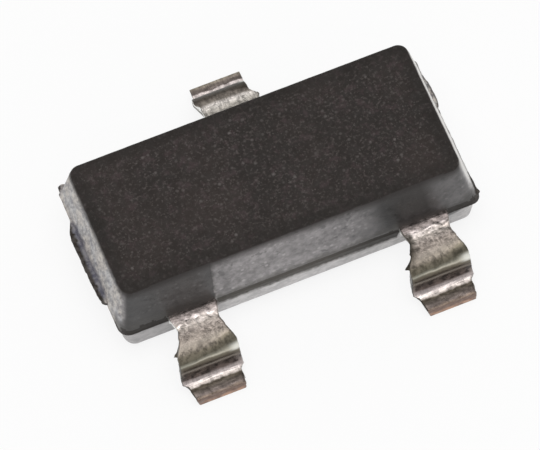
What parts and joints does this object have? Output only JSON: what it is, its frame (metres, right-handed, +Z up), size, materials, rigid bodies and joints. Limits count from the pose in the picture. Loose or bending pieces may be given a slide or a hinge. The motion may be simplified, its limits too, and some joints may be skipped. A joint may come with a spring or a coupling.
{
  "type": "low-dropout regulator",
  "caption": "Low-dropout voltage regulator in a small moulded surface-mount package with gull-wing leads, a die on its lead-frame pad and bond wires inside.",
  "frame": {"origin": "centre of the moulded body's top in plan, on the seating plane that the feet stand on", "axes": "+X along the body's length, from pin 1 towards pin 2; +Y from the side with pins 1 and 2 towards the side with pin 3; +Z up, away from the board"},
  "size_m": [0.003, 0.0024, 0.001],
  "materials": {
    "black_moulding_compound": "dark brown-black filled epoxy, matt moulded surface with fine pale specks",
    "tinned_copper": "matt tin plating on a copper alloy strip, with bare copper at the cut ends of the feet",
    "silicon": "polished grey semiconductor",
    "silver_filled_adhesive": "dull silver-grey cured adhesive",
    "gold_wire": "drawn gold wire"
  },
  "bodies": {
    "root": {"mould_body": "black_moulding_compound", "lead_pin_1": "tinned_copper", "lead_pin_2": "tinned_copper", "lead_pin_3_with_die_pad": "tinned_copper", "die_attach": "silver_filled_adhesive", "silicon_die": "silicon", "bond_wire_pin_1": "gold_wire", "bond_wire_pin_2": "gold_wire", "bond_wire_pin_3": "gold_wire"}
  },
  "joints": []
}
